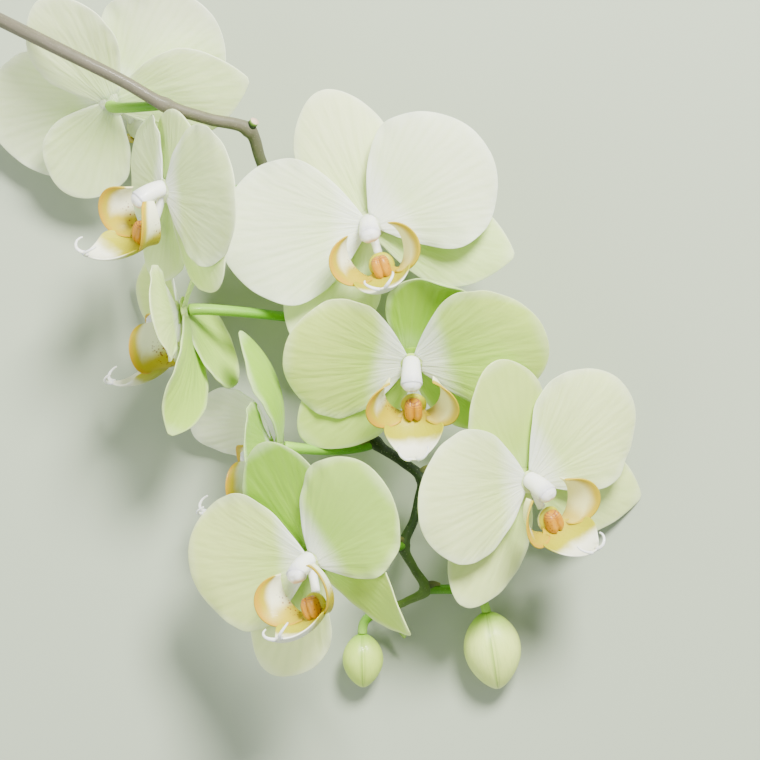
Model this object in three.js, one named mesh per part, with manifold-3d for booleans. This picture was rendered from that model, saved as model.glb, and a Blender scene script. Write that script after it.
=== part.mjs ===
// Moth orchid spray laid on its back: one bare stem with eight open blooms and two buds.
// Lengths are in mm and angles in degrees. Each bloom is drawn in its own frame:
// +Z is the way it faces, +Y is its top sepal and +X is on the right seen from the front.
import * as THREE from "three";
import { mergeVertices } from "three/addons/utils/BufferGeometryUtils.js";
import Module from "manifold-3d";

const wasm = await Module();
wasm.setup();

const V = (x, y, z) => new THREE.Vector3(x, y, z);
const PART_PLACE = { hub: V(0, 0, 0), turn: new THREE.Quaternion() };
const RAD = Math.PI / 180;

// Sizes that every bloom shares
const GAP = 0.3;
const FINENESS = 0.12;
const SNAP = 0.08;
const TOUCHING = 1e-4;
const BLADE_MID = 1.1;
const BLADE_EDGE = 0.7;
const TIP_HALF_WIDTH = 0.8;
const CENTRELINE_STEPS = 64;
const CURL_START = 0.7;
const OTHER_SIDE_PHASE = 1.9;
const FLATTEST_CURVE = 1e-6;
const ROWS_TO_TIP = 1.5;
const PATH_STEP = 1e-3;
const BALL_SIDES = 6;
const BALL_BANDS = 4;
const STEEPEST = 0.3;

// Moves the middle of the spray's outline onto the origin, in its lying plane
const ORIGIN_SHIFT = [44.3, -20, 0];

const SEPAL = {
  "dir": 90, "length": 48, "width": 31, "widest": 0.55, "baseFull": 0.85, "tipFull": 0.6, "root": 3.6,
  "start": 1.5, "lift": -1.7, "rise": -4, "bend": 2, "curl": 0, "cup": [-6, -14], "twist": 0,
  "bow": 0, "wave": 0.5, "waves": 1.3, "phase": 0.4, "crease": 0.5, "rows": 5, "columns": 4,
};
const PETAL = {
  "dir": 16, "length": 47, "width": 47, "widest": 0.53, "baseFull": 0.85, "tipFull": 0.5, "root": 3.4,
  "start": 2, "lift": 1.0, "rise": 9, "bend": -8, "curl": -6, "cup": [10, -16], "twist": 0,
  "bow": 0, "wave": 0.9, "waves": 1.6, "phase": 1.2, "crease": 0.4, "rows": 5, "columns": 4,
};
const BACK_DISC = { "radius": 5.2, "half": 1.1 };
const FRONT_DISC = { "radius": 4.2, "half": 1 };
const COLUMN = {
  "line": [[0, 1, 1.6], [0, 0.6, 5], [0, -0.6, 8], [0, -2.6, 10.6]], "radius": [3, 3.5],
  "rings": 3, "sides": 7,
  "cap": [0, -2.4, 10.4], "capRadii": [3.5, 3.1, 2.6],
  "foot": [[0, -1, 1.6], [0, -4, 1.8], [0, -7, 2.3], [0, -10.1, 3.2]], "footRadius": 1.5,
};
const SIDE_LOBE = {
  "centre": [2.4, -8.4], "radius": 9.4, "from": -78, "to": 58, "low": 4, "rake": 5, "height": 10.8, "flare": 4,
  "profile": [0.16, 0.92], "fullness": 0.7, "rows": 4, "columns": 2,
};
const MID_LOBE = {
  "dir": -90, "length": 27, "width": 21, "widest": 0.42, "baseFull": 1.7, "tipFull": 1, "root": 4,
  "start": 16, "lift": 5.5, "rise": 46, "bend": 66, "curl": 10, "cup": [40, 50], "twist": 0,
  "bow": 0, "wave": 0, "waves": 1, "phase": 0, "crease": 0, "rows": 5, "columns": 4,
};
const LIP_BASE = { "centre": [0, -14.2, 5.4], "radii": [4.6, 4.6, 2] };
const CALLUS = { "centre": [0, -14.6, 8.2], "radii": [3.4, 4.4, 3.2] };
const TENDRIL = {
  "line": [[1.1, -0.3, -1.2], [1.9, 0.5, 3], [6, 3, 1], [5, 4, -2]], "radius": [0.75, 0.45],
  "rings": 2, "sides": 4,
};
const SIDE_DIRS = { "left": 217, "right": -31 };
const PETAL_DIRS = { "left": 165, "right": 16 };

// Blooms: the hub, the way each faces (facing = azimuth, lean = angle off +Z), the azimuth of its
// top sepal and its roll, then the stem's node that its stalk grows from, how far the stalk
// runs straight out of the node and straight into the bloom, and what is special to its blades.
const BLOOMS = [
  {
    "name": "flower_1", "hub": [-3.5, 54.2, 40], "facing": 240, "lean": 9, "dorsal": 108.6, "roll": 0,
    "node": "a", "pull": [10, 8],
    "top": { "dir": 92.5, "length": 48.5, "width": 33 },
    "sideLeft": { "dir": 222, "length": 49, "width": 32 },
    "sideRight": { "dir": -30.6, "length": 50, "width": 31, "tipFull": 0.85 },
    "petalLeft": { "dir": 166, "length": 51, "width": 50 },
    "petalRight": { "dir": 18, "length": 48, "width": 50 },
    "lip": { "length": 25 },
  },
  {
    "name": "flower_2", "hub": [11, 6.3, 44.5], "facing": 268, "lean": 33, "dorsal": 94, "roll": 0,
    "node": "b", "pull": [12, 8],
    "top": { "dir": 69, "length": 36.5, "width": 30, "rise": -3, "bend": 12, "curl": 80, "cup": [-4, 4] },
    "sideLeft": { "dir": 216, "length": 48, "width": 31, "rise": 5, "cup": [0, 0] },
    "sideRight": { "dir": -38, "length": 46, "width": 30 },
    "petalLeft": { "dir": 170, "length": 43, "width": 48 },
    "petalRight": { "dir": 14, "length": 47, "width": 47 },
  },
  {
    "name": "flower_3", "hub": [52, -35.5, 37], "facing": -20, "lean": 34, "dorsal": 110, "roll": 0,
    "node": "c", "pull": [10, 7],
    "top": { "rise": 5, "bend": 4, "cup": [0, 4] },
    "sideLeft": { "dir": 219 },
    "sideRight": { "dir": -37, "tipFull": 0.85, "length": 55, "bend": -3 },
    "petalLeft": { "dir": 161 },
  },
  {
    "name": "flower_4", "hub": [-23, -62, 69], "facing": 195, "lean": 37, "dorsal": 108, "roll": 0,
    "node": "d", "pull": [14, 12],
    "top": { "dir": 98, "length": 43, "width": 33, "rise": 2, "cup": [0, 4] },
    "sideLeft": { "dir": 219, "width": 34 },
    "sideRight": { "dir": -27, "length": 44, "width": 24, "rise": -6, "bend": 30, "bow": -12, "twist": 30 },
    "petalLeft": { "length": 49 },
    "petalRight": { "dir": 24, "length": 45, "width": 43 },
  },
  {
    "name": "flower_5", "hub": [-37, -24, 32], "facing": 188, "lean": 98, "dorsal": 98, "roll": -20,
    "node": "e", "pull": [12, 5], "dip": [0, -3, -4],
    "top": { "dir": 96, "length": 45, "width": 28, "rise": -24, "bend": 66, "cup": [30, 50] },
    "sideLeft": { "dir": 232, "length": 37, "rise": 12 },
    "sideRight": { "dir": -66, "length": 32, "width": 22, "rise": -10 },
    "petalRight": { "dir": 14, "length": 26, "width": 36, "rise": 10, "bend": 4 },
    "petalLeft": { "dir": 166, "length": 40, "width": 30, "rise": 10, "bend": 108, "curl": -30 },
  },
  {
    "name": "flower_6", "hub": [-74, 65.5, 52], "facing": 187, "lean": 58, "dorsal": 94, "roll": -20,
    "node": "f", "pull": [12, 8],
    "top": { "dir": 96, "length": 27, "width": 29, "rise": -2, "bend": 2 },
    "sideLeft": { "dir": 252, "length": 36, "width": 30 },
    "sideRight": { "dir": -25, "length": 44, "rise": 0 },
    "petalRight": { "dir": 16, "rise": 2, "bend": -4 },
    "petalLeft": { "dir": 170, "length": 30, "width": 38, "rise": -2, "bend": -10 },
  },
  {
    "name": "flower_7", "hub": [-70, 24, 37.5], "facing": 190, "lean": 100, "dorsal": 96, "roll": -14,
    "node": "g", "pull": [8, 6],
    "top": { "length": 28, "width": 22, "rise": -28, "bend": -10 },
    "sideLeft": { "dir": 238, "length": 36, "rise": -10, "bend": -10 },
    "sideRight": {
      "dir": -62, "length": 44, "width": 24, "tipFull": 0.9, "rise": -6, "bend": 40, "twist": 50,
    },
    "petalRight": { "dir": 13, "length": 38, "width": 32, "rise": 2, "bend": -4 },
    "petalLeft": { "dir": 180, "length": 38, "width": 36, "rise": 4, "bend": 68, "curl": -26 },
  },
  {
    "name": "flower_8", "hub": [-94, 98, 32.6], "facing": 72, "lean": 150, "dorsal": 125, "roll": 0,
    "node": "h", "pull": [5, 4],
    "top": { "dir": 93, "length": 44 },
    "sideLeft": { "dir": 198, "length": 50, "tipFull": 0.85, "cup": [0, -10] },
    "sideRight": { "dir": -31, "length": 38, "width": 31 },
    "lip": { "length": 20 },
  },
];

// The stem's line from its cut end to its tip, with the radius there.
// A named point is a node, where the stem thickens and carries a bract.
const STEM_LINE = [
  { "at": [-182, 149, 2.3], "radius": 2.4 },
  { "at": [-165, 142, 13], "radius": 2.4 },
  { "at": [-139, 129, 39], "radius": 2.4 },
  { "at": [-112, 115, 52.5], "radius": 2.3 },
  { "at": [-89, 103.5, 52.5], "radius": 2.2 },
  { "name": "h", "at": [-74.4, 95.4, 50.5], "radius": 2.2 },
  { "at": [-60, 91, 46], "radius": 2.1 },
  { "name": "scar", "at": [-46, 87.6, 40.5], "radius": 2.2 },
  { "at": [-42.2, 78, 34], "radius": 2 },
  { "name": "f", "at": [-38.5, 67, 28], "radius": 2.1 },
  { "name": "a", "at": [-34, 51, 24], "radius": 2.1 },
  { "at": [-30, 36, 23], "radius": 1.9 },
  { "name": "g", "at": [-27, 21.7, 22.5], "radius": 2.1 },
  { "at": [-20, 10, 22], "radius": 1.9 },
  { "name": "b", "at": [-14.5, -2.5, 20], "radius": 2.1 },
  { "at": [-8, -13, 18.5], "radius": 1.8 },
  { "name": "e", "at": [-1.5, -22.5, 17.5], "radius": 2 },
  { "at": [7, -28.5, 19.5], "radius": 1.7 },
  { "name": "c", "at": [15, -35.3, 21], "radius": 1.9 },
  { "at": [13.8, -42, 21.5], "radius": 1.6 },
  { "at": [12, -50, 21.5], "radius": 1.6 },
  { "name": "d", "at": [8.4, -59, 21], "radius": 1.9 },
  { "at": [12, -67, 18.5], "radius": 1.5 },
  { "name": "bigbud", "at": [16.2, -75, 16.5], "radius": 1.8 },
  { "at": [9, -79.5, 15], "radius": 1.4 },
  { "name": "smallbud", "at": [2, -83.3, 13.5], "radius": 1.7 },
  { "at": [5.5, -87.5, 12.5], "radius": 1.2 },
  { "at": [9, -92.5, 12], "radius": 0.6 },
];
const STEM_RINGS = 58;
const STEM_SIDES = 6;
const NODE_SWELL = 0.55;
const NODE_SPREAD = 2.2;

const BRACT = { "out": 4.8, "back": 3, "sunk": 1, "foot": 1.9, "tip": 0.45 };
const SCAR = { "dir": [0.5, 0.6, 0.62], "length": 4.6, "foot": 1.9, "end": 1.6 };

const STALK_RADIUS = { "stem": 1.7, "bloom": 2.1 };
const STALK_RINGS = 8;
const STALK_SIDES = 6;
const STALK_END = -3.4;
const DIP_NEAR = 1.4;
const DIP_FAR = 0.4;

const BUD = {
  "ends": [0.02, 0.99], "lean": 0.92, "fullness": 0.62, "furrow": 0.05, "furrowWidth": 6,
  "rings": 8, "sides": 9,
};

const BUDS = [
  {
    "name": "bud_1", "node": "bigbud", "top": [38.3, -83.6, 11], "tip": [42.6, -111, 7.6], "radius": 10.4,
    "pull": [12, 9],
  },
  {
    "name": "bud_2", "node": "smallbud", "top": [-6.4, -91.4, 9.5], "tip": [-6, -110.6, 7.4], "radius": 7.4,
    "pull": [6, 6],
  },
];

// Direction of a blade's centreline above the bloom's plane, in radians, at share u of its length.
function slopeAt(blade, u) {
  const past = Math.max(0, (u - CURL_START) / (1 - CURL_START));
  return (blade.rise + blade.bend * u + blade.curl * past * past) * RAD;
}

// Points along the centreline as [outward, upward] shares of the length.
function centreline(blade) {
  const line = [[0, 0]];
  for (let i = 0; i < CENTRELINE_STEPS; i++) {
    const slope = slopeAt(blade, (i + 0.5) / CENTRELINE_STEPS);
    const [out, up] = line[i];
    line.push([out + Math.cos(slope) / CENTRELINE_STEPS, up + Math.sin(slope) / CENTRELINE_STEPS]);
  }
  return line;
}

function halfWidth(blade, u) {
  const power = Math.log(0.5) / Math.log(blade.widest);
  const full = blade.baseFull + (blade.tipFull - blade.baseFull) * u;
  const swell = Math.max(0, Math.sin(Math.PI * Math.pow(u, power)));
  const body = (blade.width / 2) * Math.pow(swell, full);
  return body + blade.root * Math.pow(1 - u, 3) + TIP_HALF_WIDTH * u;
}

// How far a blade's margin waves and its midrib sinks, measured along its face.
function relief(blade, u, v) {
  const phase = blade.phase + (v < 0 ? OTHER_SIDE_PHASE : 0);
  const wave = Math.sin(2 * Math.PI * blade.waves * u + phase) * Math.sin(Math.PI * u);
  const ripple = blade.wave * Math.pow(Math.abs(v), 3) * wave;
  const groove = blade.crease * Math.pow(1 - Math.abs(v), 2) * (1 - u);
  return ripple - groove;
}

// A tepal or lip lobe as a function (u, v) => { point, normal }:
// u runs from its root to its tip and v from -1 to 1 across it.
function bladeSurface(blade) {
  const line = centreline(blade);
  const outward = V(Math.cos(blade.dir * RAD), Math.sin(blade.dir * RAD), 0);
  const across = V(-outward.y, outward.x, 0);
  const up = V(0, 0, 1);
  const between = (a, b, share) => a + (b - a) * share;
  return (u, v) => {
    const place = u * CENTRELINE_STEPS;
    const i = Math.min(CENTRELINE_STEPS - 1, Math.floor(place));
    const [out, high] = [0, 1].map((k) => blade.length * between(line[i][k], line[i + 1][k], place - i));
    const slope = slopeAt(blade, u);
    const turn = blade.twist * u * u * RAD;
    const level = outward.clone().multiplyScalar(-Math.sin(slope)).addScaledVector(up, Math.cos(slope));
    const side = across.clone().multiplyScalar(Math.cos(turn)).addScaledVector(level, Math.sin(turn));
    const face = level.clone().multiplyScalar(Math.cos(turn)).addScaledVector(across, -Math.sin(turn));
    const curve = (2 * between(blade.cup[0], blade.cup[1], u) * RAD) / blade.width + FLATTEST_CURVE;
    const bent = curve * v * halfWidth(blade, u);
    const point = outward.clone().multiplyScalar(blade.start + out)
      .addScaledVector(up, blade.lift + high)
      .addScaledVector(across, blade.bow * u * u)
      .addScaledVector(side, Math.sin(bent) / curve)
      .addScaledVector(face, (1 - Math.cos(bent)) / curve + relief(blade, u, v));
    const normal = face.multiplyScalar(Math.cos(bent)).addScaledVector(side, -Math.sin(bent));
    return { point, normal };
  };
}

// A closed solid from a list of points and a list of triangles
function solidFrom(points, faces) {
  const vertProperties = new Float32Array(points.flatMap((p) => [p.x, p.y, p.z]));
  const triVerts = new Uint32Array(faces.flat());
  return new wasm.Manifold(new wasm.Mesh({ numProp: 3, vertProperties, triVerts }));
}

function sheetPoints(surface, spec) {
  const points = [];
  for (const sign of [1, -1])
    for (let i = 0; i <= spec.rows; i++)
      for (let j = 0; j <= spec.columns; j++) {
        const u = 1 - Math.pow(1 - i / spec.rows, ROWS_TO_TIP);
        const v = (2 * j) / spec.columns - 1;
        const { point, normal } = surface(u, v);
        const thick = BLADE_EDGE + (BLADE_MID - BLADE_EDGE) * (1 - v * v);
        points.push(point.addScaledVector(normal, (sign * thick) / 2));
      }
  return points;
}

// A thin sheet on both sides of a surface, split into triangles alike on both faces
function sheet(surface, spec) {
  const { rows, columns } = spec;
  const faces = [];
  const rim = [];
  const under = (rows + 1) * (columns + 1);
  const at = (i, j) => i * (columns + 1) + j;
  for (let i = 0; i < rows; i++)
    for (let j = 0; j < columns; j++) {
      const [a, b, c, d] = [at(i, j), at(i + 1, j), at(i + 1, j + 1), at(i, j + 1)];
      const split = j < columns / 2 ? [[a, b, c], [a, c, d]] : [[a, b, d], [b, c, d]];
      for (const [p, q, r] of split) faces.push([p, q, r], [p + under, r + under, q + under]);
    }
  for (let i = 0; i < rows; i++) rim.push(at(i, 0));
  for (let j = 0; j < columns; j++) rim.push(at(rows, j));
  for (let i = rows; i > 0; i--) rim.push(at(i, columns));
  for (let j = columns; j > 0; j--) rim.push(at(0, j));
  rim.forEach((p, k) => {
    const q = rim[(k + 1) % rim.length];
    faces.push([q, p, p + under], [q, p + under, q + under]);
  });
  return solidFrom(sheetPoints(surface, spec), faces);
}

// The rings of a tube along path(t), with radius(t, angle)
function tubePoints(path, radius, rings, sides) {
  const points = [];
  let side = null;
  for (let i = 0; i <= rings; i++) {
    const t = i / rings;
    const ahead = path(Math.min(1, t + PATH_STEP)).sub(path(Math.max(0, t - PATH_STEP))).normalize();
    if (!side) side = Math.abs(ahead.z) < 0.9 ? V(0, 0, 1) : V(1, 0, 0);
    side = side.clone().addScaledVector(ahead, -side.dot(ahead)).normalize();
    const other = V(0, 0, 0).crossVectors(ahead, side);
    for (let k = 0; k < sides; k++) {
      const angle = (2 * Math.PI * k) / sides;
      const reach = radius(t, angle);
      const point = path(t).addScaledVector(side, reach * Math.cos(angle));
      points.push(point.addScaledVector(other, reach * Math.sin(angle)));
    }
  }
  return points;
}

// A closed tube with flat ends
function tube(path, radius, rings, sides) {
  const points = tubePoints(path, radius, rings, sides);
  const faces = [];
  const first = points.length;
  points.push(path(0), path(1));
  for (let k = 0; k < sides; k++) {
    const next = (k + 1) % sides;
    for (let i = 0; i < rings; i++) {
      const [a, b] = [i * sides + k, i * sides + next];
      faces.push([a, b, b + sides], [a, b + sides, a + sides]);
    }
    faces.push([first, next, k], [first + 1, rings * sides + k, rings * sides + next]);
  }
  return solidFrom(points, faces);
}

function taper(from, to) {
  return (t) => from + (to - from) * t;
}

function bezier(a, b, c, d) {
  const curve = new THREE.CubicBezierCurve3(a, b, c, d);
  return (t) => curve.getPoint(t);
}

function ball(centre, radii) {
  const round = new THREE.SphereGeometry(1, BALL_SIDES, BALL_BANDS);
  round.deleteAttribute("uv").deleteAttribute("normal");
  const closed = mergeVertices(round, 1e-4).scale(radii.x, radii.y, radii.z);
  closed.translate(centre.x, centre.y, centre.z);
  const vertProperties = closed.attributes.position.array;
  const triVerts = new Uint32Array(closed.index.array);
  return new wasm.Manifold(new wasm.Mesh({ numProp: 3, vertProperties, triVerts }));
}

// Cuts off what would dip below the surface that the spray lies on, in the frame given by place.
function restOnFloor(solid, place) {
  const up = V(0, 0, 1).applyQuaternion(place.turn.clone().invert());
  return solid.trimByPlane([up.x, up.y, up.z], -place.hub.z);
}

function join(solids) {
  return solids.reduce((whole, next) => whole.add(next));
}

// Sepals: three blades joined by the disc at the back of the bloom
function sepals(bloom) {
  const blades = [
    { ...SEPAL, ...bloom.top },
    { ...SEPAL, "dir": SIDE_DIRS.left, ...bloom.sideLeft },
    { ...SEPAL, "dir": SIDE_DIRS.right, ...bloom.sideRight },
  ];
  const back = ball(V(0, 0, SEPAL.lift), V(BACK_DISC.radius, BACK_DISC.radius, BACK_DISC.half));
  return join([...blades.map((b) => sheet(bladeSurface(b), b)), back]);
}

// Petals: two blades, the disc between them, the column with its cap, and the column's foot
function petals(bloom) {
  const blades = [
    { ...PETAL, "dir": PETAL_DIRS.left, ...bloom.petalLeft },
    { ...PETAL, "dir": PETAL_DIRS.right, ...bloom.petalRight },
  ];
  const column = COLUMN.line.map((p) => V(...p));
  const foot = COLUMN.foot.map((p) => V(...p));
  return join([
    ...blades.map((b) => sheet(bladeSurface(b), b)),
    ball(V(0, 0, PETAL.lift), V(FRONT_DISC.radius, FRONT_DISC.radius, FRONT_DISC.half)),
    tube(bezier(...column), taper(...COLUMN.radius), COLUMN.rings, COLUMN.sides),
    ball(V(...COLUMN.cap), V(...COLUMN.capRadii)),
    tube(bezier(...foot), () => COLUMN.footRadius, 2, 5),
  ]);
}

// A side lobe of the lip: part of a cylinder that flares outwards, on the side +1 or -1
function sideLobeSurface(side) {
  const { from, to, centre, radius, low, rake, height, flare } = SIDE_LOBE;
  return (u, v) => {
    const angle = taper(from, to)(u) * RAD;
    const tall = height * Math.pow(Math.sin(Math.PI * taper(...SIDE_LOBE.profile)(u)), SIDE_LOBE.fullness);
    const share = (v + 1) / 2;
    const out = radius + flare * (share - 0.5) * Math.sin(Math.PI * u);
    const x = side * (centre[0] + out * Math.cos(angle));
    const point = V(x, centre[1] + out * Math.sin(angle), low + rake * u + tall * share);
    return { point, normal: V(Math.cos(angle), side * Math.sin(angle), (-side * flare) / height).normalize() };
  };
}

// Lip: two upright side lobes, the callus between them, the middle lobe and its two tendrils
function lip(bloom) {
  const middle = { ...MID_LOBE, ...bloom.lip };
  const tip = bladeSurface(middle)(1, 0).point;
  const tendrils = [1, -1].map((side) => {
    const [root, lift, turn, end] = TENDRIL.line.map(([x, y, z]) => tip.clone().add(V(side * x, y, z)));
    return tube(bezier(root, lift, turn, end), taper(...TENDRIL.radius), TENDRIL.rings, TENDRIL.sides);
  });
  return join([
    ball(V(...LIP_BASE.centre), V(...LIP_BASE.radii)),
    ball(V(...CALLUS.centre), V(...CALLUS.radii)),
    sheet(sideLobeSurface(1), SIDE_LOBE),
    sheet(sideLobeSurface(-1), SIDE_LOBE),
    sheet(bladeSurface(middle), middle),
    ...tendrils,
  ]);
}

function stemPath() {
  const curve = new THREE.CatmullRomCurve3(STEM_LINE.map((p) => V(...p.at)), false, "centripetal");
  return (t) => curve.getPoint(t);
}

function nodePoint(name) {
  return V(...STEM_LINE.find((p) => p.name === name).at);
}

// The stem's radius at share t of its line, grown by the given amount
function stemRadius(grown) {
  const path = stemPath();
  const nodes = STEM_LINE.filter((p) => p.name).map((p) => V(...p.at));
  return (t) => {
    const place = t * (STEM_LINE.length - 1);
    const i = Math.min(STEM_LINE.length - 2, Math.floor(place));
    const plain = taper(STEM_LINE[i].radius, STEM_LINE[i + 1].radius)(place - i);
    const nearest = Math.min(...nodes.map((n) => n.distanceTo(path(t))));
    return plain + NODE_SWELL * Math.exp(-Math.pow(nearest / NODE_SPREAD, 2)) + grown;
  };
}

// Where the stalk of a node leads
function growthPoint(name) {
  const bloom = BLOOMS.find((b) => b.node === name);
  return bloom ? V(...bloom.hub) : V(...BUDS.find((b) => b.node === name).top);
}

// A pointed scale on the side of a node that faces the cut end
function bract(name, grown) {
  const at = nodePoint(name);
  const index = STEM_LINE.findIndex((p) => p.name === name);
  const forward = V(...STEM_LINE[index + 1].at).sub(V(...STEM_LINE[index - 1].at)).normalize();
  const out = growthPoint(name).sub(at);
  out.addScaledVector(forward, -out.dot(forward)).normalize();
  const root = at.clone().addScaledVector(forward, -BRACT.sunk);
  const tip = at.clone().addScaledVector(out, BRACT.out).addScaledVector(forward, -BRACT.back);
  const middle = at.clone().addScaledVector(out, BRACT.out / 2).addScaledVector(forward, -BRACT.back);
  const radius = (t) => taper(BRACT.foot, BRACT.tip)(t) + grown;
  return tube(bezier(root, middle, middle, tip), radius, 2, 5);
}

// The stub that an old bloom left behind
function scarStub(grown) {
  const root = nodePoint("scar");
  const cut = root.clone().addScaledVector(V(...SCAR.dir).normalize(), SCAR.length);
  return tube(bezier(root, root, cut, cut), (t) => taper(SCAR.foot, SCAR.end)(t) + grown, 1, STEM_SIDES);
}

function stem(grown = 0) {
  const names = STEM_LINE.map((p) => p.name).filter((name) => name && name !== "scar");
  const line = tube(stemPath(), stemRadius(grown), STEM_RINGS, STEM_SIDES);
  const bracts = names.map((name) => bract(name, grown));
  return restOnFloor(join([line, scarStub(grown), ...bracts]), PART_PLACE);
}

// A stalk from a node of the stem to its bloom or bud, which it meets along the given direction
function stalk(owner, end, arrive, endRadius) {
  const start = nodePoint(owner.node);
  const dip = V(...(owner.dip || [0, 0, 0]));
  const away = end.clone().addScaledVector(arrive, -owner.pull[1]).sub(start).normalize();
  const near = start.clone().addScaledVector(away, owner.pull[0]).addScaledVector(dip, DIP_NEAR);
  const far = end.clone().addScaledVector(arrive, -owner.pull[1]).addScaledVector(dip, DIP_FAR);
  const radius = (t) => taper(STALK_RADIUS.stem, endRadius)(t * t);
  const whole = tube(bezier(start, near, far, end), radius, STALK_RINGS, STALK_SIDES);
  const [largest] = whole.subtract(stem(GAP)).decompose().sort((a, b) => b.volume() - a.volume());
  return largest;
}

// Bud: an egg with three shallow furrows where its sepals meet
function bud(spec) {
  const [top, tip] = [V(...spec.top), V(...spec.tip)];
  const path = (t) => top.clone().lerp(tip, t);
  const radius = (t, angle) => {
    const along = Math.pow(taper(...BUD.ends)(t), BUD.lean);
    const furrow = BUD.furrow * Math.pow(Math.abs(Math.cos(1.5 * angle)), BUD.furrowWidth);
    return spec.radius * Math.pow(Math.sin(Math.PI * along), BUD.fullness) * (1 - furrow);
  };
  return restOnFloor(tube(path, radius, BUD.rings, BUD.sides), PART_PLACE);
}

// A bloom's frame: its hub and the quaternion that turns +Z to the way it faces
function placeOf(bloom) {
  const lean = bloom.lean * RAD;
  const facing = bloom.facing * RAD;
  const z = V(Math.sin(lean) * Math.cos(facing), Math.sin(lean) * Math.sin(facing), Math.cos(lean));
  const y = V(Math.cos(bloom.dorsal * RAD), Math.sin(bloom.dorsal * RAD), 0);
  if (Math.abs(z.z) > STEEPEST) y.z = -y.dot(z) / z.z;
  y.addScaledVector(z, -y.dot(z)).normalize().applyAxisAngle(z, bloom.roll * RAD);
  const x = V(0, 0, 0).crossVectors(y, z);
  const turn = new THREE.Quaternion().setFromRotationMatrix(new THREE.Matrix4().makeBasis(x, y, z));
  return { hub: V(...bloom.hub), turn, z };
}

// Merges corners that lie almost on each other and drops the faces that this folds shut.
function snapped(geometry) {
  const merged = mergeVertices(geometry, TOUCHING);
  const places = merged.attributes.position;
  const corners = [];
  const owners = [];
  for (let i = 0; i < places.count; i += 1) {
    const corner = new THREE.Vector3().fromBufferAttribute(places, i);
    const near = corners.findIndex((other, j) => owners[j] === j && other.distanceTo(corner) < SNAP);
    corners.push(corner);
    owners.push(near < 0 ? i : near);
  }
  const kept = [];
  for (let i = 0; i < merged.index.count; i += 3) {
    const face = [0, 1, 2].map((k) => owners[merged.index.getX(i + k)]);
    if (new Set(face).size === 3) kept.push(...face);
  }
  return merged.setIndex(kept);
}

function meshOf(name, solid, material) {
  const made = solid.asOriginal().simplify(FINENESS).getMesh();
  const geometry = snapped(
    new THREE.BufferGeometry()
      .setAttribute("position", new THREE.BufferAttribute(new Float32Array(made.vertProperties), 3))
      .setIndex(new THREE.BufferAttribute(new Uint32Array(made.triVerts), 1)),
  );
  geometry.computeVertexNormals();
  const mesh = new THREE.Mesh(geometry, material.clone());
  mesh.name = name;
  return mesh;
}

function matt(color, roughness) {
  return new THREE.MeshStandardMaterial({ color, roughness, metalness: 0 });
}

const MATERIALS = {
  stem: matt("#5d6450", 0.6),
  stalk: matt("#b9cc8f", 0.55),
  tepal: matt("#e6efcf", 0.6),
  petal: matt("#edf4de", 0.6),
  lip: matt("#f0b822", 0.5),
  bud: matt("#cfdf9c", 0.5),
};

function bloomGroup(bloom) {
  const group = new THREE.Group();
  const place = placeOf(bloom);
  group.position.copy(place.hub);
  group.quaternion.copy(place.turn);
  group.add(meshOf(bloom.name + "_sepals", restOnFloor(sepals(bloom), place), MATERIALS.tepal));
  group.add(meshOf(bloom.name + "_petals", restOnFloor(petals(bloom), place), MATERIALS.petal));
  group.add(meshOf(bloom.name + "_lip", restOnFloor(lip(bloom), place), MATERIALS.lip));
  return group;
}

function bloomStalk(bloom) {
  const place = placeOf(bloom);
  const end = place.hub.clone().addScaledVector(place.z, STALK_END);
  return meshOf(bloom.name + "_stalk", stalk(bloom, end, place.z, STALK_RADIUS.bloom), MATERIALS.stalk);
}

function budStalk(spec) {
  const arrive = V(...spec.tip).sub(V(...spec.top)).normalize();
  const end = V(...spec.top).addScaledVector(arrive, -GAP);
  return meshOf(spec.name + "_stalk", stalk(spec, end, arrive, STALK_RADIUS.stem), MATERIALS.stalk);
}

const laid = new THREE.Group();
laid.position.set(...ORIGIN_SHIFT);
laid.add(meshOf("stem", stem(), MATERIALS.stem));
for (const bloom of BLOOMS) laid.add(bloomStalk(bloom), bloomGroup(bloom));
for (const spec of BUDS) laid.add(budStalk(spec), meshOf(spec.name, bud(spec), MATERIALS.bud));

const spray = new THREE.Group();
spray.add(laid);

export default spray;
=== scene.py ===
# Looks of the moth orchid spray. Every blade, tube and blob repeats the formulas of the solids at a
# finer step, in mm, and is turned into metres when its mesh is made.
import math

import bpy
import numpy as np
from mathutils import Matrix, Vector


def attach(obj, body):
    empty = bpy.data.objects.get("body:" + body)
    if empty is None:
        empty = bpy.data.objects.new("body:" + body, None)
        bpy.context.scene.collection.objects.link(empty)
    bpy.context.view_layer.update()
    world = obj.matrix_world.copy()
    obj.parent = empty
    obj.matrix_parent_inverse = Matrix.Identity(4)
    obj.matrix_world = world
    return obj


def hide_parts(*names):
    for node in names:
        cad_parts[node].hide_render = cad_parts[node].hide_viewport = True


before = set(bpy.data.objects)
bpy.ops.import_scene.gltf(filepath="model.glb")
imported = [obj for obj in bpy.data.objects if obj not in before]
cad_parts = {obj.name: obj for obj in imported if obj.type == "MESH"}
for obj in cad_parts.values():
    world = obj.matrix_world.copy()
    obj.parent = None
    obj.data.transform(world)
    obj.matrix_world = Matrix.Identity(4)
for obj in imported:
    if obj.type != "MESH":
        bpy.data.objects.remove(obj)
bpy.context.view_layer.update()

RAD = math.pi / 180

GAP = 0.3
TIP_HALF_WIDTH = 0.8
CURL_START = 0.7
OTHER_SIDE_PHASE = 1.9
STEEPEST = 0.3
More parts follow.
